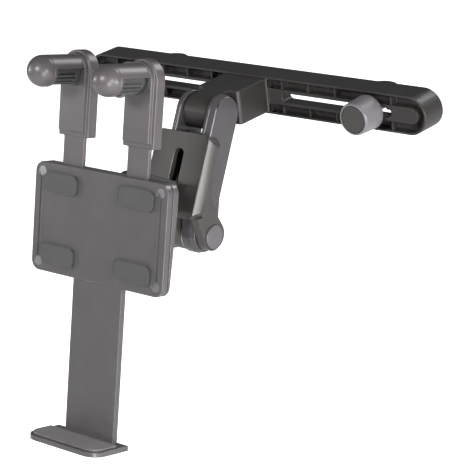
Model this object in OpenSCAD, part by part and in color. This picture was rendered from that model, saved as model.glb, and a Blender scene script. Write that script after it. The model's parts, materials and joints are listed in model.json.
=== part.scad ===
// Tablet mount that clamps across two round headrest posts.
// X runs along the bar, +Y points into the posts, +Z is up.
// The origin is the centre of the bar's flat rear face, which bears on the posts.

/* [Bar] */
// Overall length of the bar
bar_len = 263; // [230:1:300]
// Height of the bar
bar_h = 23.6; // [21:0.1:30]
// Depth of the bar from its front rim to its rear face
bar_depth = 18; // [16:0.5:26]
// Thickness of the outer rim wall
rim_wall = 1.5; // [1.2:0.1:2]
// Depth of the ribbed channel in the front
channel_depth = 5.5; // [3:0.5:7]
// Thickness of the web behind the channel
web_wall = 3; // [2.5:0.1:4]
// Height of the raised island that holds the slots
island_h = 10; // [9:0.1:11]
// Height of the clamp slots
slot_h = 5.6; // [5.6:0.1:6]
// Distance from the middle of the bar to the inner end of each slot
slot_in = 27.5; // [24:0.5:34]
// Spacing of the cross ribs
rib_pitch = 20; // [16:0.5:24]
// Thickness of the cross ribs
rib_wall = 1.2; // [1:0.1:2]
// Width of the centre block
block_w = 32; // [30:0.5:36]
// Height of the centre block
block_h = 21; // [20:0.5:22]
// How far the centre block stands out of the front of the bar
block_out = 26.5; // [20:0.5:34]

/* [Post clamps] */
// Diameter of the posts that are gripped
post_d = 12.8; // [10:0.1:14]
// Spacing of the two posts
post_spacing = 165; // [140:1:180]
// Distance from each post to its clamping screw
screw_offset = 10.8; // [10.8:0.1:13]
// How far each clamp slides outwards from its place
clamp_out = 8; // [6:0.5:9]
// Diameter of the clamping screw
screw_d = 5; // [4:0.1:5]
// Height of the hook jaw
jaw_h = 12; // [12:0.5:19]
// Wall of the hook jaw
jaw_wall = 3.4; // [3:0.1:4]
// Thickness of the rubber liner in the jaw
liner = 1.2; // [1:0.1:1.5]
// Diameter of the knob at its front
knob_front_d = 19.4; // [16:0.1:22]
// Diameter of the knob at its back
knob_back_d = 20.8; // [18:0.1:24]
// Length of the knob
knob_len = 16.4; // [14:0.1:22]

/* [Folding arm] */
// Distance from the nose of the centre block to the upper pivot
pivot_reach = 12.2; // [12.2:0.1:14]
// Width of the arm over its two ears
arm_w = 30.6; // [29:0.1:32]
// Radius of the arm's round top
arm_r = 11.8; // [11:0.1:11.9]
// Thickness of the upper ears
ear_wall = 5.5; // [5:0.1:6]
// Width of the bevel round the edge of the arm
arm_bevel = 3.2; // [1:0.1:3.6]
// Distance between the two pivots along the arm
arm_len = 72; // [66:0.5:90]
// How far the lower pivot lies behind the middle of the arm
arm_dogleg = 6; // [5:0.1:8]
// Radius of the arm's lower end
arm_end_r = 11.3; // [10.6:0.1:11.6]
// Lean of the arm out of the vertical
arm_lean = 29.3; // [10:0.1:60]
// Radius of the pivot pins
pin_r = 3; // [2.5:0.1:3.5]

/* [Slotted plate] */
// Width of the slotted plate
plate_w = 44; // [43:0.5:52]
// Length of the slotted plate
plate_len = 50.6; // [50:0.1:56]
// Thickness of the front wall of the plate
plate_wall = 3.5; // [3:0.1:4.5]
// Depth of the side walls that lie beside the arm
plate_side = 10.1; // [9:0.1:11]
// Width of the height slot
height_slot_w = 7; // [6:0.1:8]
// Length of the height slot
height_slot_len = 36.4; // [30:0.1:38]
// Radius of the bosses at the lower pivot
cheek_r = 8.6; // [8:0.1:9.5]

/* [Head] */
// Distance from the plate to the tilt pivot
yoke_reach = 28; // [26:0.5:36]
// Width of the yoke over its ears
yoke_w = 22; // [21:0.5:24]
// Radius of the tilt knuckle
tilt_r = 8.5; // [8:0.1:9]
// Distance from the tilt pivot to the back of the cradle
head_reach = 23.8; // [23:0.1:30]
// How far the swivel axis lies below the tilt pivot
head_drop = 11.8; // [6:0.1:13]
// Radius of the swivel disc
swivel_r = 16; // [15:0.1:17]

/* [Cradle] */
// Lean of the cradle out of the vertical
cradle_lean = 15.5; // [0:0.1:30]
// Width of the cradle body
body_w = 102.8; // [96:0.1:120]
// Height of the cradle body
body_h = 64; // [62:0.5:70]
// Thickness of the cradle body
body_t = 9; // [9:0.1:11]
// Corner radius of the cradle body
body_r = 6; // [4:0.5:9]
// Height of the tablet that is held
tablet_h = 200; // [190:1:225]
// Thickness of the tablet that is held
tablet_t = 8.7; // [7:0.1:10]
// Thickness of the soft pads behind the tablet
pad_t = 2.2; // [1.5:0.1:3]

/* [Fingers and foot] */
// Spacing of the two fingers
finger_spacing = 50; // [48:0.5:56]
// Radius of the fingers
finger_r = 9; // [8.5:0.1:9.5]
// Distance from the finger straps to the centre of the round tips
finger_len = 24.2; // [20:0.1:28]
// Width of the finger straps
strap_w = 23; // [21:0.5:24]
// Thickness of the finger straps
strap_t = 9.6; // [8:0.1:10]
// Width of the foot
foot_w = 56; // [50:0.5:70]
// How far the foot reaches in front of the tablet
foot_out = 11.5; // [8:0.5:16]

/* [Hidden] */
$fn = 64;

// Clearances
gap = 0.4;
slide_gap = 0.3;
run_gap = 0.05;

// Bar
bar_end_r = bar_h / 2;
bar_end_x = bar_len / 2 - bar_end_r;
block_fillet = 1.6;
block_chamfer = 2;
cavity_y = bar_depth - channel_depth - web_wall;
screw_x = post_spacing / 2 + screw_offset;
slot_out = screw_x + clamp_out + screw_d / 2 + slot_h / 2 + 0.9;
slot_len = slot_out - slot_in;
skirt_wall = 2;
block_y = -bar_depth - block_out;
rib_count = floor((bar_end_x - slot_in) / rib_pitch) + 1;

// Upper pivot
pivot_y = block_y - pivot_reach;
washer_t = 0.8;
ear_in = arm_w / 2 - ear_wall;
knuckle_x = ear_in - gap - washer_t;
knuckle_r = block_h / 2;
pin_blind = 3;

// Arm
arm_bend = arm_len - 22;
web_front = 1;
tongue_x = 4.6;
ring_t = 1;
low_ear_in = tongue_x + ring_t + 2 * slide_gap;
channel_end = arm_len - arm_end_r - 3.5;

// Slotted plate
plate_p = -arm_r - 0.7 - plate_wall;
plate_top = 15.1;
plate_bottom = plate_top + plate_len;
plate_in = arm_w / 2 + 0.9;
slot_top = plate_top + 10.1;
slot_bottom = slot_top + height_slot_len;
cap_r = 7.2;
cap_recess = 1;

// Yoke and tilt pivot
slider_len = 8.4;
slider_s = slot_bottom - slider_len / 2 - 3.4;
clamp_plate_t = 2;
yoke_base_t = 3.5;
yoke_ear = 4;
yoke_neck = 7;
yoke_neck_w = 10.4;
yoke_in = yoke_w / 2 - yoke_ear;
tilt_p = plate_p - yoke_reach;
tilt_pin_r = 2.5;
tilt_y = pivot_y - slider_s * sin(arm_lean) + tilt_p * cos(arm_lean);
tilt_z = -slider_s * cos(arm_lean) - tilt_p * sin(arm_lean);

// Cradle, whose own origin is the middle of the tablet's front face
pad_y = tablet_t;
body_y = pad_y + pad_t + 0.1;
body_back = body_y + body_t;
body_mid_z = 21;
swivel_z = 30;
head_y = body_back + head_reach;
head_z = swivel_z + head_drop;
cradle_y = tilt_y - head_y * cos(cradle_lean) - head_z * sin(cradle_lean);
cradle_z = tilt_z + head_y * sin(cradle_lean) - head_z * cos(cradle_lean);
body_taper = 2.9;
shell_rim = 3;
seam = 0.6;
seam_y = body_y + body_t * 0.47;
body_top = body_mid_z + body_h / 2;
body_low = body_mid_z - body_h / 2;
ring_r = swivel_r + 4;
ring_out = 7;

// Fingers
finger_z = tablet_h / 2 + finger_r - 1;
finger_x = finger_spacing / 2;
strap_y = body_back - strap_t;
slide_t = 2.6;
slide_y = body_y + 2.8;
slide_w = 16;
strap_low = 70;
bridge_low = 13;
bridge_h = 8;
room_low = bridge_low - 8.6;
grip_core_r = 6.4;
grip_r = finger_r - 1;
grip_ribs = 9;
grip_back = 5;
grip_front = 21.3;

// Foot
foot_z = -tablet_h / 2;
foot_pad_t = 1.5;
foot_plate_t = 3;
foot_arm_w = 38;

// Placing frames
module in_arm() translate([0, pivot_y, 0]) rotate([-arm_lean, 0, 0]) children();
module at_lower_pivot() in_arm() translate([0, arm_dogleg, -arm_len]) children();
module in_slider() in_arm() translate([0, 0, -slider_s]) children();
module at_tilt() translate([0, tilt_y, tilt_z]) children();
module in_cradle() translate([0, cradle_y, cradle_z]) rotate([-cradle_lean, 0, 0]) children();

// Cylinder along X from x0 to x1
module rod_x(r, x0, x1) translate([x0, 0, 0]) rotate([0, 90, 0]) cylinder(r = r, h = x1 - x0);
// Cylinder along Y from y0 to y1
module rod_y(r, y0, y1) translate([0, y1, 0]) rotate([90, 0, 0]) cylinder(r = r, h = y1 - y0);
// Side outline, drawn as (Y, Z), from x0 to x1
module slab_x(x0, x1) translate([x0, 0, 0]) rotate([90, 0, 90]) linear_extrude(x1 - x0) children();
// Front outline, drawn as (X, Z), from y0 to y1
module slab_y(y0, y1) translate([0, y1, 0]) rotate([90, 0, 0]) linear_extrude(y1 - y0) children();
// Two mirrored outlines
module both_sides_flat() { children(); mirror([1, 0]) children(); }
// Two mirrored copies
module both_sides() { children(); mirror([1, 0, 0]) children(); }

// Outline of a bar with round ends
module stadium(end_x, r) {
    square([2 * end_x, 2 * r], center = true);
    for (side = [-1, 1]) translate([side * end_x, 0]) circle(r);
}

// Outline of a rectangle with round corners
module round_rect(w, h, r) {
    square([w - 2 * r, h], center = true);
    square([w, h - 2 * r], center = true);
    for (x = [-1, 1], y = [-1, 1]) translate([x * (w / 2 - r), y * (h / 2 - r)]) circle(r);
}

// Outline of a plate whose top is a half circle
module round_top(w, low, top_z) {
    translate([-w / 2, low]) square([w, top_z - low]);
    translate([0, top_z]) circle(w / 2);
}

// Bar

module bar_channel() {
    difference() {
        slab_y(-bar_depth - 1, -bar_depth + channel_depth) stadium(bar_end_x, bar_end_r - rim_wall);
        slab_y(-bar_depth - 2, 0) stadium(bar_end_x + 1.5, island_h / 2);
        translate([-block_w / 2 - 1.5, -bar_depth - 2, -bar_h]) cube([block_w + 3, bar_depth, 2 * bar_h]);
        both_sides() for (i = [0 : rib_count - 1])
            translate([slot_in + i * rib_pitch - rib_wall / 2, -bar_depth + 0.4, -bar_h])
                cube([rib_wall, bar_depth, 2 * bar_h]);
    }
}

module bar_slot() {
    end_x = slot_len / 2 - slot_h / 2;
    translate([slot_in + slot_len / 2, 0, 0]) slab_y(-bar_depth - 1, 1) stadium(end_x, slot_h / 2);
}

module bar() {
    color("dimgray") difference() {
        union() {
            slab_y(-bar_depth, 0) stadium(bar_end_x, bar_end_r);
            translate([-block_w / 2, block_y, -block_h / 2]) cube([block_w, block_out + 1, block_h]);
            translate([0, 0, -block_h / 2]) linear_extrude(block_h) both_sides_flat() difference() {
                translate([block_w / 2 - 0.1, -bar_depth - block_fillet]) square([block_fillet, block_fillet + 0.5]);
                translate([block_w / 2 + block_fillet, -bar_depth - block_fillet]) circle(block_fillet);
            }
            translate([-knuckle_x, pivot_y, -knuckle_r]) cube([2 * knuckle_x, pivot_reach + 1, 2 * knuckle_r]);
            translate([0, pivot_y, 0]) rod_x(knuckle_r, -knuckle_x, knuckle_x);
        }
        bar_channel();
        both_sides() bar_slot();
        difference() {
            slab_y(-cavity_y, 1) stadium(bar_end_x, bar_end_r - skirt_wall);
            translate([-block_w / 2, -bar_depth, -bar_h]) cube([block_w, bar_depth + 5, 2 * bar_h]);
        }
        both_sides() translate([block_w / 2, block_y, 0]) rotate([0, 0, 45])
            cube([block_chamfer, block_chamfer, 2 * block_h], center = true);
        translate([0, pivot_y, 0]) rod_x(pin_r + run_gap, -block_w, block_w);
    }
}

// Post clamps, drawn for the right side with the screw on the Y axis

module on_right() translate([screw_x, 0, 0]) children();
module on_left() mirror([1, 0, 0]) on_right() children();

post_r = post_d / 2;
knob_washer_t = 1;
knob_y = -bar_depth - knob_washer_t - 2 * slide_gap;
knob_wall = 1.3;
cap_t = 1.6;
jaw_y = slide_gap;
jaw_block = 9;
insert_r = 4;
insert_from = 4;
insert_to = 8.6;
jaw_key = [-5.6, -3.2];
screw_tip = post_r + 10.8;
liner_from = -15;
liner_to = 175;

module washer_part() {
    color("silver") difference() {
        rod_y(8, knob_y + slide_gap, knob_y + slide_gap + knob_washer_t);
        rod_y(screw_d / 2 + run_gap, -bar_depth - 5, 0);
    }
}

module knob_part() {
    back_r = knob_back_d / 2;
    front_r = knob_front_d / 2;
    color("dimgray") difference() {
        translate([0, knob_y, 0]) rotate([90, 0, 0]) rotate_extrude()
            polygon([[0, 0], [back_r - 0.8, 0], [back_r, 0.8], [back_r, 1.6], [front_r, knob_len - 0.9],
                [front_r - 0.7, knob_len], [0, knob_len]]);
        rod_y(front_r - knob_wall, knob_y - knob_len - 1, knob_y - knob_len + cap_t);
        rod_y(screw_d / 2, knob_y - knob_len + cap_t + 1.5, knob_y + 1);
    }
}

module knob_cap_part() {
    color("gray") translate([0, knob_y - knob_len + cap_t, 0]) rotate([90, 0, 0]) rotate_extrude()
        polygon([[0, 0], [knob_front_d / 2 - knob_wall, 0], [knob_front_d / 2 - knob_wall, cap_t - 0.7],
            [knob_front_d / 2 - knob_wall - 0.4, cap_t - 0.3], [0, cap_t - 0.3]]);
}

module screw_part() {
    color("silver") difference() {
        rod_y(screw_d / 2, knob_y - knob_len + cap_t + 1.5, screw_tip);
        rod_y(1, screw_tip - 1.5, screw_tip + 1);
    }
}

// Sector of a ring round the post, between two angles
module post_ring(r_in, r_out) {
    span = liner_to - liner_from;
    translate([-screw_offset, post_r, -jaw_h / 2]) rotate([0, 0, liner_from])
        rotate_extrude(angle = span) translate([r_in, 0]) square([r_out - r_in, jaw_h]);
}

module jaw_part() {
    hook_r = post_r + liner;
    key_half = slot_h / 2 - slide_gap;
    boss = insert_r + 1.2;
    color([0.2, 0.2, 0.21]) difference() {
        union() {
            post_ring(hook_r, hook_r + jaw_wall);
            difference() {
                union() {
                    translate([-screw_offset + hook_r + 0.6, jaw_y, -jaw_h / 2 + 0.3])
                        cube([jaw_block + screw_offset - hook_r - 0.6, post_r + insert_to - jaw_y, jaw_h - 0.6]);
                    translate([-boss, post_r + insert_from - 0.6, -boss])
                        cube([boss, insert_to - insert_from + 0.6, 2 * boss]);
                    translate([jaw_key[0], jaw_y - 0.5, -key_half]) cube([-jaw_key[0], 2, 2 * key_half]);
                }
                translate([-screw_offset, post_r, 0])
                    cylinder(r = hook_r + jaw_wall / 3, h = jaw_h + 2, center = true);
            }
            translate([jaw_key[0], -cavity_y + 0.6, -key_half])
                cube([jaw_key[1] - jaw_key[0], cavity_y + 0.1, 2 * key_half]);
        }
        rod_y(screw_d / 2 + 0.5, -bar_depth, 20);
        rod_y(insert_r, post_r + insert_from, 20);
    }
}

module liner_part() {
    color([0.1, 0.1, 0.1]) post_ring(post_r, post_r + liner);
}

module insert_part() {
    color("goldenrod") difference() {
        rod_y(insert_r, post_r + insert_from, post_r + insert_to);
        rod_y(screw_d / 2 + run_gap, 0, 20);
    }
}

module right_washer() on_right() washer_part();
module right_knob() on_right() knob_part();
module right_knob_cap() on_right() knob_cap_part();
module right_screw() on_right() screw_part();
module right_jaw() on_right() jaw_part();
module right_jaw_liner() on_right() liner_part();
module right_insert() on_right() insert_part();
module left_washer() on_left() washer_part();
module left_knob() on_left() knob_part();
module left_knob_cap() on_left() knob_cap_part();
module left_screw() on_left() screw_part();
module left_jaw() on_left() jaw_part();
module left_jaw_liner() on_left() liner_part();
module left_insert() on_left() insert_part();

// Folding arm, drawn hanging from its upper pivot

// Round slice of the arm with its bevelled edges
module arm_slice(r) {
    flat_x = arm_w / 2 - arm_bevel;
    cut = arm_bevel * 0.375;
    rod_x(r, -flat_x, flat_x);
    translate([0, cut, 0]) rod_x(r - cut, -arm_w / 2, arm_w / 2);
}

module arm_outline() {
    hull() {
        arm_slice(arm_r);
        translate([0, 0, -arm_bend]) arm_slice(arm_r);
    }
    hull() {
        translate([0, 0, -arm_bend]) arm_slice(arm_r);
        translate([0, arm_dogleg, -arm_len]) arm_slice(arm_end_r);
    }
}

module arm_link() {
    color([0.42, 0.4, 0.42]) in_arm() difference() {
        arm_outline();
        translate([-ear_in, -50, -knuckle_r - 2.1]) cube([2 * ear_in, 100, 50]);
        translate([-ear_in, -50, -channel_end]) cube([2 * ear_in, 50 + web_front, channel_end]);
        translate([-low_ear_in, -50, -arm_len - 50]) cube([2 * low_ear_in, 100, 50 + arm_len - channel_end - 2]);
        rod_x(pin_r, -ear_in - pin_blind, ear_in + pin_blind);
        translate([0, arm_dogleg, -arm_len]) rod_x(pin_r + run_gap, -arm_w, arm_w);
    }
}

module upper_pin() {
    color("silver") translate([0, pivot_y, 0]) rod_x(pin_r, -ear_in - pin_blind, ear_in + pin_blind);
}

module upper_washer(side) {
    color("silver") translate([side * (knuckle_x + washer_t / 2), pivot_y, 0]) difference() {
        rod_x(knuckle_r - 1, -washer_t / 2, washer_t / 2);
        rod_x(pin_r + run_gap, -2, 2);
    }
}
module upper_washer_right() upper_washer(1);
module upper_washer_left() upper_washer(-1);

// Slotted plate, drawn in the arm's frame, folded up in front of it

// Point where a line from p touches a circle round c, on one side
function touch(p, c, r, side) =
    let (d = c - p, dist = norm(d), turn = side * asin(r / dist), reach = sqrt(dist * dist - r * r),
        aim = atan2(d[1], d[0]) + turn)
    p + reach * [cos(aim), sin(aim)];

low_c = [arm_dogleg, -arm_len];

module plate_shell() {
    half = plate_w / 2;
    back = plate_p + plate_side;
    side = [[half - 1.9, plate_p], [half - 0.3, plate_p + 4.2], [half, plate_p + 8], [half - 0.5, back],
        [plate_in, back], [plate_in, plate_p + plate_wall]];
    translate([0, 0, -plate_bottom]) linear_extrude(plate_len)
        polygon(concat(side, [for (i = [5 : -1 : 0]) [-side[i][0], side[i][1]]]));
}

module plate_cheek_outline() {
    front = plate_p + plate_wall;
    back = plate_p + plate_side;
    side_back = plate_p + 8;
    knee = [back + 8.9, -plate_bottom + 8];
    toe = [front + 2.2, -plate_bottom - 0.8];
    heel_c = low_c + [0.9, 0.9];
    polygon([[side_back, -plate_bottom + 26], [back, -plate_bottom + 26], [back + 0.6, -plate_bottom + 18], knee,
        touch(knee, heel_c, cheek_r, 1), heel_c, low_c, touch(toe, low_c, cheek_r, -1), toe,
        [front + 0.4, -plate_bottom + 1.5], [side_back, -plate_bottom + 3]]);
    translate(low_c) circle(cheek_r);
    translate(heel_c) circle(cheek_r);
}

module plate_tongue_outline() {
    front = plate_p + 1;
    top = [plate_p + plate_wall, -plate_bottom + 3.2];
    polygon([top, touch(top, low_c, arm_end_r - 0.8, 1), low_c,
        touch([front, -plate_bottom], low_c, arm_end_r - 0.8, -1), [front, -plate_bottom]]);
    translate(low_c) circle(arm_end_r - 0.8);
}

module slotted_plate() {
    color([0.33, 0.32, 0.33]) in_arm() difference() {
        union() {
            intersection() {
                plate_shell();
                translate([0, 0, -(plate_top + plate_bottom) / 2]) slab_y(-40, 40)
                    round_rect(plate_w, plate_len, 7);
            }
            both_sides() slab_x(plate_in, plate_w / 2) plate_cheek_outline();
            slab_x(-tongue_x, tongue_x) plate_tongue_outline();
        }
        translate([0, 0, -(slot_top + slot_bottom) / 2]) slab_y(plate_p - 5, plate_p + plate_wall + 1)
            rotate(90) stadium(height_slot_len / 2 - height_slot_w / 2, height_slot_w / 2);
        translate([0, arm_dogleg, -arm_len]) rod_x(pin_r + run_gap, -tongue_x - 1, tongue_x + 1);
        translate([0, arm_dogleg, -arm_len]) rod_x(pin_r, -plate_w, plate_w);
        both_sides() translate([0, arm_dogleg, -arm_len]) rod_x(cap_r, plate_w / 2 - cap_recess, plate_w);
    }
}

module lower_pin() {
    pin_x = plate_w / 2 - cap_recess;
    color("silver") at_lower_pivot() rod_x(pin_r, -pin_x, pin_x);
}

module lower_cap(side) {
    face = plate_w / 2 - cap_recess;
    color([0.5, 0.48, 0.5]) at_lower_pivot() rotate([0, side * 90, 0]) translate([0, 0, face]) rotate_extrude()
        polygon([[0, 0], [cap_r, 0], [cap_r, cap_recess + 0.5], [cap_r - 0.7, cap_recess + 1.1],
            [0, cap_recess + 1.3]]);
}
module lower_cap_right() lower_cap(1);
module lower_cap_left() lower_cap(-1);

module lower_ring(side) {
    mid = tongue_x + slide_gap + ring_t / 2;
    color("silver") at_lower_pivot() translate([side * mid, 0, 0]) difference() {
        rod_x(arm_end_r - 0.9, -ring_t / 2, ring_t / 2);
        rod_x(pin_r + run_gap, -2, 2);
    }
}
module lower_ring_right() lower_ring(1);
module lower_ring_left() lower_ring(-1);

// Yoke that slides in the plate's slot

yoke_base_h = 17;
yoke_screw_r = 1.1;
yoke_head_r = 2.1;
yoke_screw_z = 2.2;
clamp_plate_w = 11.6;
clamp_plate_h = 11;

module yoke() {
    neck_y = plate_p - slide_gap;
    base_y = neck_y - yoke_neck - yoke_base_t;
    key = height_slot_w - 2 * slide_gap;
    key_back = plate_p + plate_wall + slide_gap;
    color([0.2, 0.2, 0.21]) in_slider() difference() {
        union() {
            slab_y(base_y, base_y + yoke_base_t) round_rect(yoke_w, yoke_base_h, 2);
            slab_y(base_y, neck_y) round_rect(yoke_neck_w, 14, 3);
            slab_y(neck_y - 1, key_back) rotate(90) stadium(slider_len / 2 - key / 2, key / 2);
            both_sides() slab_x(yoke_in, yoke_w / 2) {
                translate([tilt_p, -tilt_r]) square([base_y + 1 - tilt_p, 2 * tilt_r]);
                translate([tilt_p, 0]) circle(tilt_r);
            }
        }
        translate([0, tilt_p, 0]) rod_x(tilt_pin_r, -yoke_w, yoke_w);
        for (z = [-yoke_screw_z, yoke_screw_z]) translate([0, 0, z]) rod_y(yoke_screw_r, neck_y - 5, 10);
    }
}

module yoke_clamp_plate() {
    face = plate_p + plate_wall + slide_gap;
    color("silver") in_slider() difference() {
        slab_y(face, face + clamp_plate_t) round_rect(clamp_plate_w, clamp_plate_h, 2);
        for (z = [-yoke_screw_z, yoke_screw_z]) translate([0, 0, z]) {
            rod_y(yoke_screw_r, face - 1, face + 5);
            rod_y(yoke_head_r, face + clamp_plate_t - 1.2, face + 5);
        }
    }
}

module yoke_screws() {
    face = plate_p + plate_wall + slide_gap + clamp_plate_t;
    color("silver") in_slider() for (z = [-yoke_screw_z, yoke_screw_z]) translate([0, 0, z]) {
        rod_y(yoke_screw_r, face - 8, face - 1.2);
        rod_y(yoke_head_r, face - 1.2, face - 0.1);
    }
}

// Tilt head, drawn in the cradle's frame

module tilt_head() {
    disc_back = body_back + 1 + 3;
    half = yoke_in - gap;
    color([0.2, 0.2, 0.21]) in_cradle() difference() {
        union() {
            translate([0, 0, swivel_z]) rod_y(swivel_r, body_back + 1, disc_back);
            translate([0, 0, swivel_z]) rod_y(10.4, body_back + 1, disc_back + 7);
            slab_x(-half, half) {
                polygon([[disc_back + 1, swivel_z - 8], [disc_back + 7, swivel_z - 8],
                    touch([disc_back + 7, swivel_z - 8], [head_y, head_z], tilt_r, -1), [head_y, head_z],
                    touch([disc_back + 1, swivel_z + 9], [head_y, head_z], tilt_r, 1),
                    [disc_back + 1, swivel_z + 9]]);
                translate([head_y, head_z]) circle(tilt_r);
            }
        }
        translate([0, 0, swivel_z]) difference() {
            rod_y(ring_r + 2, disc_back + 0.001, body_back + ring_out + slide_gap);
            rod_y(10.4, disc_back - 1, body_back + 20);
        }
        translate([0, head_y, head_z]) rod_x(tilt_pin_r + run_gap, -20, 20);
        translate([0, 0, swivel_z]) rod_y(2.2, body_back, body_back + 6);
    }
}

module tilt_bolt() {
    color("silver") at_tilt() {
        rod_x(tilt_pin_r, -yoke_w / 2 - 5, yoke_w / 2);
        rotate([0, 90, 0]) translate([0, 0, yoke_w / 2]) cylinder(r = 4.6, h = 3);
    }
}

module tilt_nut() {
    color("silver") at_tilt() rotate([0, -90, 0]) translate([0, 0, yoke_w / 2]) difference() {
        cylinder(r = 4.6, h = 4, $fn = 6);
        translate([0, 0, -1]) cylinder(r = tilt_pin_r, h = 8);
    }
}

// Cradle

module body_outline(inset) translate([0, body_mid_z])
    round_rect(body_w - 2 * inset, body_h - 2 * inset, body_r - inset);

// Room for the finger carriage inside the two shells
module slide_room() {
    room = slide_gap;
    translate([0, slide_y - room, 0]) {
        translate([-body_w / 2 + shell_rim, 0, room_low])
            cube([body_w - 2 * shell_rim, slide_t + 2 * room, body_top - shell_rim - room_low]);
        both_sides() translate([finger_x - slide_w / 2 - room, 0, body_mid_z])
            cube([slide_w + 2 * room, slide_t + 2 * room, body_h]);
    }
}

screw_post_x = body_w / 2 - 5.5;
screw_post_z = body_h / 2 - 5.5;
module at_screw_posts() for (x = [-1, 1], z = [-1, 1])
    translate([x * screw_post_x, 0, body_mid_z + z * screw_post_z]) children();

module rear_shell() {
    arm_y = body_back - 6.8;
    ledge_top = foot_z - foot_pad_t;
    color([0.25, 0.24, 0.25]) in_cradle() difference() {
        union() {
            difference() {
                slab_y(seam_y + seam, body_back) body_outline(0);
                slab_x(-body_w, body_w) polygon([[body_back, body_top - 14], [body_back + 9, body_top - 14],
                    [body_back + 9, body_low - 1], [body_back - body_taper, body_low - 1]]);
            }
            slab_y(seam_y - 1, seam_y + seam + 1) body_outline(1.5);
            translate([0, 0, swivel_z]) rod_y(ring_r, body_back - 2.5, body_back + 4 + slide_gap);
            difference() {
                slab_y(arm_y, body_back - body_taper) translate([-foot_arm_w / 2, ledge_top - foot_plate_t])
                    square([foot_arm_w, body_low + 4 - ledge_top + foot_plate_t]);
                slab_y(0, seam_y + seam) body_outline(-0.2);
            }
            translate([0, body_back - body_taper, 0]) foot_plate_solid(ledge_top);
        }
        slide_room();
        translate([0, 0, swivel_z]) rod_y(swivel_r + slide_gap, body_back + 1 - slide_gap, body_back + 20);
        at_screw_posts() rod_y(1.4, seam_y - 2, body_back - 3.2);
        translate([0, 0, swivel_z]) at_ring_screws() rod_y(1, body_back - 0.4, body_back + 20);
    }
}

// Foot plate with round front corners
module foot_plate_solid(top_z) {
    depth = body_back - body_taper + foot_out;
    r = 9;
    translate([0, -depth / 2, top_z - foot_plate_t]) linear_extrude(foot_plate_t) {
        translate([0, -depth / 2 + r]) square([foot_w - 2 * r, 2 * r], center = true);
        translate([0, r / 2]) square([foot_w, depth - r], center = true);
        for (x = [-1, 1]) translate([x * (foot_w / 2 - r), -depth / 2 + r]) circle(r);
    }
}

module at_ring_screws() for (a = [30, 150, 270])
    rotate([0, a, 0]) translate([swivel_r + 2.2, 0, 0]) children();

module front_shell() {
    color([0.3, 0.29, 0.3]) in_cradle() difference() {
        slab_y(body_y, seam_y) body_outline(0);
        slab_y(seam_y - 1 - 0.001, seam_y + 1) body_outline(1.5);
        slide_room();
        at_screw_posts() rod_y(1.4, body_y + 1, seam_y + 1);
        at_screw_posts() rod_y(2.8, body_y - 1, body_y + 1.6);
    }
}

module shell_screws() {
    color("silver") in_cradle() at_screw_posts() {
        rod_y(2.8, body_y + 0.2, body_y + 1.6);
        rod_y(1.4, body_y + 1.6, body_back - 3.2);
    }
}

module swivel_ring() {
    face = body_back + 4 + slide_gap;
    color([0.2, 0.2, 0.21]) in_cradle() translate([0, 0, swivel_z]) difference() {
        rod_y(ring_r, face, body_back + ring_out);
        rod_y(10.4 + slide_gap, face - 1, body_back + 20);
        at_ring_screws() rod_y(1, face - 1, body_back + 20);
    }
}

module ring_screws() {
    color("silver") in_cradle() translate([0, 0, swivel_z]) at_ring_screws() {
        rod_y(1, body_back - 0.4, body_back + ring_out);
        rod_y(1.7, body_back + ring_out, body_back + ring_out + 1.2);
    }
}

module back_pads() {
    color([0.12, 0.12, 0.12]) in_cradle() for (x = [-1, 1], z = [-1, 1])
        translate([x * (body_w / 2 - 22), 0, body_mid_z + z * (body_h / 2 - 11)])
            slab_y(body_y - pad_t, body_y) round_rect(26, 12, 4);
}

module foot_pad() {
    depth = foot_out - 1.9 + tablet_t;
    r = 7;
    color([0.5, 0.49, 0.5]) in_cradle() translate([0, tablet_t - depth / 2, foot_z - foot_pad_t])
        linear_extrude(foot_pad_t) {
            translate([0, -depth / 2 + r]) square([foot_w - 3.6 - 2 * r, 2 * r], center = true);
            translate([0, r / 2]) square([foot_w - 3.6, depth - r], center = true);
            for (x = [-1, 1]) translate([x * (foot_w / 2 - 1.8 - r), -depth / 2 + r]) circle(r);
        }
}

// Fingers on their sliding carriage

module at_fingers() both_sides() translate([finger_x, 0, 0]) children();

module finger_carriage() {
    strap_bevel = 2.6;
    color([0.33, 0.32, 0.33]) in_cradle() difference() {
        union() {
            translate([-finger_x - slide_w / 2, slide_y, bridge_low])
                cube([2 * finger_x + slide_w, slide_t, bridge_h]);
            at_fingers() {
                translate([-slide_w / 2, slide_y, bridge_low]) cube([slide_w, slide_t, strap_low - bridge_low + 2]);
                slab_y(strap_y + strap_bevel, body_back) round_top(strap_w, strap_low, finger_z);
                slab_y(strap_y, strap_y + strap_bevel + 0.5)
                    round_top(strap_w - 2 * strap_bevel * 0.7, strap_low + 3, finger_z);
            }
        }
        at_fingers() translate([0, 0, finger_z]) {
            rod_y(2, strap_y - 1, body_back + 1);
            rod_y(4, body_back - 2, body_back + 1);
        }
    }
}

module finger_hood(side) {
    tip = strap_y - finger_len;
    window_from = strap_y - grip_front;
    color([0.36, 0.35, 0.36]) in_cradle() translate([side * finger_x, 0, finger_z]) difference() {
        union() {
            rod_y(finger_r, tip, strap_y);
            translate([0, tip, 0]) rotate([90, 0, 0]) rotate_extrude() intersection() {
                circle(finger_r);
                square(finger_r);
            }
        }
        translate([0, tip + 0.9, 0]) rotate([90, 0, 0]) rotate_extrude()
            polygon([[finger_r - 0.35, 0], [finger_r + 1, -0.6], [finger_r + 1, 0.6]]);
        rod_y(grip_core_r + 0.9, window_from, strap_y + 1);
        translate([-20, window_from, -20]) cube([40, 40, 21.8]);
        rod_y(2, window_from - 6, strap_y + 1);
    }
}
module finger_hood_right() finger_hood(1);
module finger_hood_left() finger_hood(-1);

module grip_profile() {
    circle(grip_core_r);
    for (i = [0 : grip_ribs - 1])
        rotate(-90 + (i - (grip_ribs - 1) / 2) * 18) translate([0, -0.6]) square([grip_r, 1.2]);
}

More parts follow.
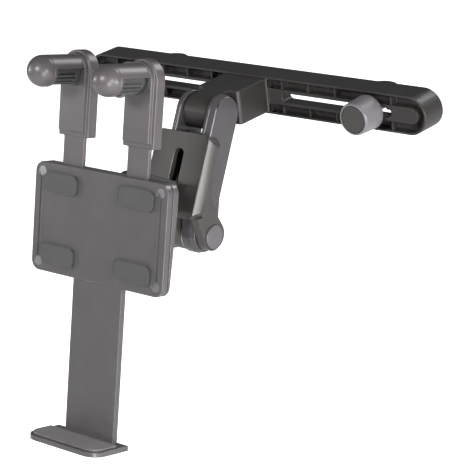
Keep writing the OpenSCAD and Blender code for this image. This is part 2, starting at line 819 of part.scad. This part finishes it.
module finger_grip(side) {
    color([0.1, 0.1, 0.1]) in_cradle() translate([side * finger_x, 0, finger_z]) difference() {
        union() {
            slab_y(strap_y - grip_front + 0.3, strap_y - grip_back) grip_profile();
            intersection() {
                rod_y(finger_r - 0.3, strap_y - 1.1, strap_y);
                translate([-20, -60, -20]) cube([40, 120, 21.4]);
            }
            rod_y(grip_core_r, strap_y - grip_back - 1, strap_y);
        }
        rod_y(2, -60, 60);
    }
}
module finger_grip_right() finger_grip(1);
module finger_grip_left() finger_grip(-1);

module finger_screws() {
    color("silver") in_cradle() at_fingers() translate([0, 0, finger_z]) {
        rod_y(2, strap_y - grip_front - 5, body_back - 2);
        rod_y(3.8, body_back - 2, body_back - 0.4);
    }
}

bar();
right_washer();
right_knob();
right_knob_cap();
right_screw();
right_jaw();
right_jaw_liner();
right_insert();
left_washer();
left_knob();
left_knob_cap();
left_screw();
left_jaw();
left_jaw_liner();
left_insert();
arm_link();
upper_pin();
upper_washer_right();
upper_washer_left();
slotted_plate();
lower_pin();
lower_cap_right();
lower_cap_left();
lower_ring_right();
lower_ring_left();
yoke();
yoke_clamp_plate();
yoke_screws();
tilt_head();
tilt_bolt();
tilt_nut();
rear_shell();
front_shell();
shell_screws();
swivel_ring();
ring_screws();
back_pads();
foot_pad();
finger_carriage();
finger_hood_right();
finger_hood_left();
finger_grip_right();
finger_grip_left();
finger_screws();
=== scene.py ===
import json
import math

import bmesh
import bpy
from mathutils import Euler, Matrix, Vector


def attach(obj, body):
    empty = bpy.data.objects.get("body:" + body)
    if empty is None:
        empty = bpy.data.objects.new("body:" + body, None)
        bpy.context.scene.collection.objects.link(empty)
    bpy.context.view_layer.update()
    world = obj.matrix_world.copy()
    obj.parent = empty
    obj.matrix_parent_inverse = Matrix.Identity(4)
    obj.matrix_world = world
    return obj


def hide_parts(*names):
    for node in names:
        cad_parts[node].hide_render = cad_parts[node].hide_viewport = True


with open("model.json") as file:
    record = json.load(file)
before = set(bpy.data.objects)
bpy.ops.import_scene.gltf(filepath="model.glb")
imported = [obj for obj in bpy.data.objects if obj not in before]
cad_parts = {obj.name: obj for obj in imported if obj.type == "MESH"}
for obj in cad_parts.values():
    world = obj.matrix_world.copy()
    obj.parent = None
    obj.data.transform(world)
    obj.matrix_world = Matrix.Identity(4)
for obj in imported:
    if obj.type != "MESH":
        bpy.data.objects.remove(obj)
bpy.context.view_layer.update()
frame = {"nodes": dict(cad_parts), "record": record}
nodes = frame["nodes"]
MM = 0.001
SIDES = ("right", "left")
SCREW_X = {"right": 93.3, "left": -93.3}

# Finishes, with each grain's waves for each metre, then its depth

CLOUDS = 60
RUBBER_CLOUDS = 150
RUBBER_GLOSS = 700
STEEL_CLOUDS = 300
MOULD_TEXTURE = 2600
RUBBER_TEXTURE = 1800
STEEL_TEXTURE = 3000
MOULD_DEPTH = 0.06 * MM
RUBBER_DEPTH = 0.08 * MM
STEEL_DEPTH = 0.03 * MM


def new_finish(name):
    finish = bpy.data.materials.new(name)
    finish.use_nodes = True
    tree = finish.node_tree
    return finish, tree, tree.nodes["Principled BSDF"]


def grain(tree, scale, detail=3.0):
    place = tree.nodes.new("ShaderNodeTexCoord")
    noise = tree.nodes.new("ShaderNodeTexNoise")
    noise.inputs["Scale"].default_value = scale
    noise.inputs["Detail"].default_value = detail
    tree.links.new(place.outputs["Object"], noise.inputs["Vector"])
    return noise.outputs["Fac"]


def spread(tree, value, low, high):
    """The middle part of a grain's range, stretched from low to high."""
    ramp = tree.nodes.new("ShaderNodeMapRange")
    ramp.inputs["From Min"].default_value = 0.3
    ramp.inputs["From Max"].default_value = 0.7
    ramp.inputs["To Min"].default_value = low
    ramp.inputs["To Max"].default_value = high
    tree.links.new(value, ramp.inputs["Value"])
    return ramp.outputs["Result"]


def tint(tree, value, dark, light):
    mix = tree.nodes.new("ShaderNodeMix")
    mix.data_type = "RGBA"
    mix.inputs["A"].default_value = (*dark, 1)
    mix.inputs["B"].default_value = (*light, 1)
    tree.links.new(value, mix.inputs["Factor"])
    return mix.outputs["Result"]


def bumped(tree, shader, height, distance, strength):
    bump = tree.nodes.new("ShaderNodeBump")
    bump.inputs["Distance"].default_value = distance
    bump.inputs["Strength"].default_value = strength
    tree.links.new(height, bump.inputs["Height"])
    tree.links.new(bump.outputs["Normal"], shader.inputs["Normal"])


def moulded_plastic(name, colour, rough, vary=0.14, texture=0.25, level=0.5):
    """Fine spark-eroded moulding texture, with faint cloudy flow marks in its tone."""
    finish, tree, shader = new_finish(name)
    dark = [c * (1 - vary) for c in colour]
    light = [c * (1 + vary) for c in colour]
    tone = tint(tree, grain(tree, CLOUDS), dark, light)
    tree.links.new(tone, shader.inputs["Base Color"])
    shader.inputs["Roughness"].default_value = rough
    shader.inputs["Specular IOR Level"].default_value = level
    bumped(tree, shader, grain(tree, MOULD_TEXTURE, 2), MOULD_DEPTH, texture)
    return finish


def turned_steel(name, colour, rough):
    finish, tree, shader = new_finish(name)
    shader.inputs["Metallic"].default_value = 1
    light = [min(1, c * 1.12) for c in colour]
    tone = tint(tree, grain(tree, STEEL_CLOUDS), colour, light)
    tree.links.new(tone, shader.inputs["Base Color"])
    shader.inputs["Roughness"].default_value = rough
    bumped(tree, shader, grain(tree, STEEL_TEXTURE), STEEL_DEPTH, 0.1)
    return finish


def soft_rubber(name, colour, rough):
    finish, tree, shader = new_finish(name)
    light = [c * 1.5 for c in colour]
    tone = tint(tree, grain(tree, RUBBER_CLOUDS, 5), colour, light)
    gloss = spread(tree, grain(tree, RUBBER_GLOSS), rough - 0.06, rough + 0.08)
    tree.links.new(tone, shader.inputs["Base Color"])
    tree.links.new(gloss, shader.inputs["Roughness"])
    shader.inputs["Sheen Weight"].default_value = 0.15
    bumped(tree, shader, grain(tree, RUBBER_TEXTURE), RUBBER_DEPTH, 0.35)
    return finish


BAR = moulded_plastic("bar_plastic", (0.032, 0.030, 0.029), 0.36, texture=0.1, level=0.32)
BLOCK = moulded_plastic("arm_plastic", (0.062, 0.057, 0.062), 0.22, texture=0.08)
PLATE = moulded_plastic("plate_plastic", (0.046, 0.043, 0.040), 0.34, texture=0.1)
SHELL = moulded_plastic("shell_plastic", (0.080, 0.075, 0.079), 0.28, texture=0.08)
FINGER = moulded_plastic("finger_plastic", (0.084, 0.075, 0.077), 0.35, texture=0.08)
KNOB = moulded_plastic("knob_plastic", (0.150, 0.140, 0.152), 0.34, texture=0.1)
CAP = moulded_plastic("cap_plastic", (0.038, 0.037, 0.034), 0.5)
BLACK = moulded_plastic("black_plastic", (0.022, 0.022, 0.023), 0.45)
PIN_CAP = moulded_plastic("pin_cap_plastic", (0.100, 0.094, 0.102), 0.42)
RUBBER = soft_rubber("soft_rubber", (0.03, 0.03, 0.03), 0.62)
FOOT = soft_rubber("foot_rubber", (0.082, 0.076, 0.074), 0.42)
STEEL = turned_steel("steel", (0.42, 0.42, 0.44), 0.34)
BRASS = turned_steel("brass", (0.78, 0.58, 0.26), 0.3)

# Pieces whose edges are rounded, with angles in degrees and widths in millimetres

SAME_POINT = 0.003 * MM
FLAT_ANGLE = 0.6
CREASE_ANGLE = 17


def softened(node, body, finish, width, segments=2, angle=30, flatten=False):
    """A copy of a node with its corners rounded as a moulding's are."""
    shape = bmesh.new()
    shape.from_mesh(nodes[node].data)
    bmesh.ops.remove_doubles(shape, verts=shape.verts, dist=SAME_POINT)
    if flatten:
        level = math.radians(FLAT_ANGLE)
        bmesh.ops.dissolve_limit(shape, angle_limit=level, verts=shape.verts, edges=shape.edges)
    mesh = bpy.data.meshes.new(node + "_moulding")
    shape.to_mesh(mesh)
    shape.free()
    mesh.materials.clear()
    mesh.materials.append(finish)
    mesh.shade_smooth()
    mesh.set_sharp_from_angle(angle=math.radians(CREASE_ANGLE))
    piece = bpy.data.objects.new(node + "_moulding", mesh)
    bpy.context.collection.objects.link(piece)
    edge = piece.modifiers.new("rounded_edges", "BEVEL")
    edge.width = width * MM
    edge.segments = segments
    edge.limit_method = "ANGLE"
    edge.angle_limit = math.radians(angle)
    edge.use_clamp_overlap = False
    flat = piece.modifiers.new("flat_faces", "WEIGHTED_NORMAL")
    flat.keep_sharp = True
    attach(piece, body)
    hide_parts(node)
    return piece


softened("bar", "bar", BAR, 0.4)
softened("arm_link", "arm", BLOCK, 0.6, 3)
softened("slotted_plate", "plate", PLATE, 0.4, 3)
softened("rear_shell", "cradle", SHELL, 0.4)
softened("front_shell", "cradle", SHELL, 0.4)
softened("finger_carriage", "fingers", FINGER, 0.5, 3, flatten=True)
softened("foot_pad", "cradle", FOOT, 0.35, 3, flatten=True)
softened("back_pads", "cradle", RUBBER, 0.35, 3, flatten=True)
softened("yoke", "slider", BLACK, 0.3)
softened("tilt_head", "head", BLACK, 0.3)
softened("swivel_ring", "cradle", BLACK, 0.3)
for side in SIDES:
    softened(side + "_knob", side + "_screw_knob", KNOB, 0.3, 3)
    softened(side + "_jaw", side + "_hook", BLACK, 0.4)
    softened("finger_hood_" + side, "fingers", FINGER, 0.25, 3, 35)

# The shadow line between each knob's rim and its cap: a thin black ring painted in as the shade
# of the gap


def shadow_ring(side):
    inner, outer, back, front = 7.7, 8.38, -35.5, -35.78
    profile = ((inner, back), (outer, back), (outer, front), (inner, front))
    shape = bmesh.new()
    corners = [shape.verts.new((r * MM, y * MM, 0)) for r, y in profile]
    edges = [shape.edges.new((corners[i], corners[i - 1])) for i in range(4)]
    bmesh.ops.spin(shape, geom=corners + edges, cent=(0, 0, 0), axis=(0, 1, 0),
                   angle=2 * math.pi, steps=96, use_merge=True)
    bmesh.ops.recalc_face_normals(shape, faces=shape.faces)
    bmesh.ops.translate(shape, vec=(SCREW_X[side] * MM, 0, 0), verts=shape.verts)
    mesh = bpy.data.meshes.new(side + "_knob_shadow_ring")
    shape.to_mesh(mesh)
    shape.free()
    # Black finish here is painted shade standing in for the gap's shadow
    mesh.materials.append(BLACK)
    ring = bpy.data.objects.new(side + "_knob_shadow_ring", mesh)
    bpy.context.collection.objects.link(ring)
    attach(ring, side + "_screw_knob")


for side in SIDES:
    shadow_ring(side)

# Pieces that keep their CAD shape

FINISHES = {
    "steel": STEEL,
    "brass": BRASS,
    "soft_rubber": RUBBER,
    "black_plastic": BLACK,
    "cap_plastic": CAP,
}
for part in frame["record"]["subparts"]:
    piece = nodes[part["node"]]
    finish = FINISHES.get(part["material_slot"])
    if finish:
        for place in piece.material_slots:
            place.material = finish

for side in SIDES:
    for place in nodes["lower_cap_" + side].material_slots:
        place.material = PIN_CAP

# Studio, in metres and degrees

FLOOR_Z = -0.3
FLOOR_HALF = 3
REFLECTED_LEVEL = 0.12
MATT_LEVEL = 0.15
CAMERA_PLACE = (0.73194, -0.8605, 0.34935)
CAMERA_TURN = (68.287, 6.058, 39.450)
LENS_MM = 146.43
SENSOR_MM = 36
LAMP_AIM = (0, -0.08, -0.05)


def floor_and_backdrop():
    """A pale floor, lit to look white to the camera."""
    floor = bmesh.new()
    bmesh.ops.create_grid(floor, x_segments=1, y_segments=1, size=FLOOR_HALF)
    bmesh.ops.translate(floor, vec=(0, 0, FLOOR_Z), verts=floor.verts)
    mesh = bpy.data.meshes.new("floor")
    floor.to_mesh(mesh)
    floor.free()
    piece = bpy.data.objects.new("floor", mesh)
    bpy.context.collection.objects.link(piece)
    finish, tree, shader = new_finish("pale_floor")
    shader.inputs["Base Color"].default_value = (0.9, 0.9, 0.9, 1)
    shader.inputs["Roughness"].default_value = 0.9
    shader.inputs["Specular IOR Level"].default_value = 0.1
    shader.inputs["Emission Color"].default_value = (1, 1, 1, 1)
    seen = tree.nodes.new("ShaderNodeLightPath")
    tree.links.new(seen.outputs["Is Camera Ray"], shader.inputs["Emission Strength"])
    mesh.materials.append(finish)


def brighter(tree, first, second):
    larger = tree.nodes.new("ShaderNodeMath")
    larger.operation = "MAXIMUM"
    tree.links.new(first, larger.inputs[0])
    tree.links.new(second, larger.inputs[1])
    return larger.outputs[0]


def dimmed(tree, light, level):
    product = tree.nodes.new("ShaderNodeMath")
    product.operation = "MULTIPLY"
    tree.links.new(light, product.inputs[0])
    product.inputs[1].default_value = level
    return product.outputs[0]


def white_surround():
    """White to the camera, dim to reflections and dim light on matt faces."""
    world = bpy.data.worlds.new("studio")
    bpy.context.scene.world = world
    world.use_nodes = True
    tree = world.node_tree
    ground = tree.nodes["Background"]
    ground.inputs["Color"].default_value = (1, 1, 1, 1)
    seen = tree.nodes.new("ShaderNodeLightPath").outputs
    shown = brighter(tree, seen["Is Camera Ray"], seen["Is Transmission Ray"])
    mirrored = dimmed(tree, seen["Is Glossy Ray"], REFLECTED_LEVEL)
    matt = dimmed(tree, seen["Is Diffuse Ray"], MATT_LEVEL)
    strength = brighter(tree, brighter(tree, shown, mirrored), matt)
    tree.links.new(strength, ground.inputs["Strength"])


def soft_box(name, at, size, power):
    lamp = bpy.data.lights.new(name, "AREA")
    lamp.shape = "RECTANGLE"
    lamp.size, lamp.size_y = size
    lamp.energy = power
    holder = bpy.data.objects.new(name, lamp)
    holder.location = at
    holder.rotation_euler = (Vector(LAMP_AIM) - Vector(at)).to_track_quat("-Z", "Y").to_euler()
    bpy.context.collection.objects.link(holder)


def photo_camera():
    lens = bpy.data.cameras.new("camera")
    lens.lens = LENS_MM
    lens.sensor_width = SENSOR_MM
    lens.clip_start = 0.01
    holder = bpy.data.objects.new("camera", lens)
    turn = Euler([math.radians(angle) for angle in CAMERA_TURN]).to_matrix().to_4x4()
    holder.matrix_world = Matrix.Translation(CAMERA_PLACE) @ turn
    bpy.context.collection.objects.link(holder)
    bpy.context.scene.camera = holder


floor_and_backdrop()
white_surround()
soft_box("left_box", (-1.15, -0.75, 0.25), (0.25, 0.35), 6)
soft_box("front_box", (0.05, -1.35, 0.78), (0.34, 0.24), 15)
soft_box("low_box", (1.0, -0.95, -0.25), (0.2, 0.6), 15)
soft_box("right_box", (1.29, -0.51, 0.22), (0.25, 0.4), 9)
soft_box("end_box", (1.38, 0.14, -0.13), (0.3, 0.45), 12)
soft_box("side_box", (0.85, 0.95, -0.55), (0.5, 0.4), 5)
soft_box("back_box", (0.3, 1.4, 0.8), (0.6, 0.6), 9)
photo_camera()
bpy.context.scene.view_settings.view_transform = "Standard"
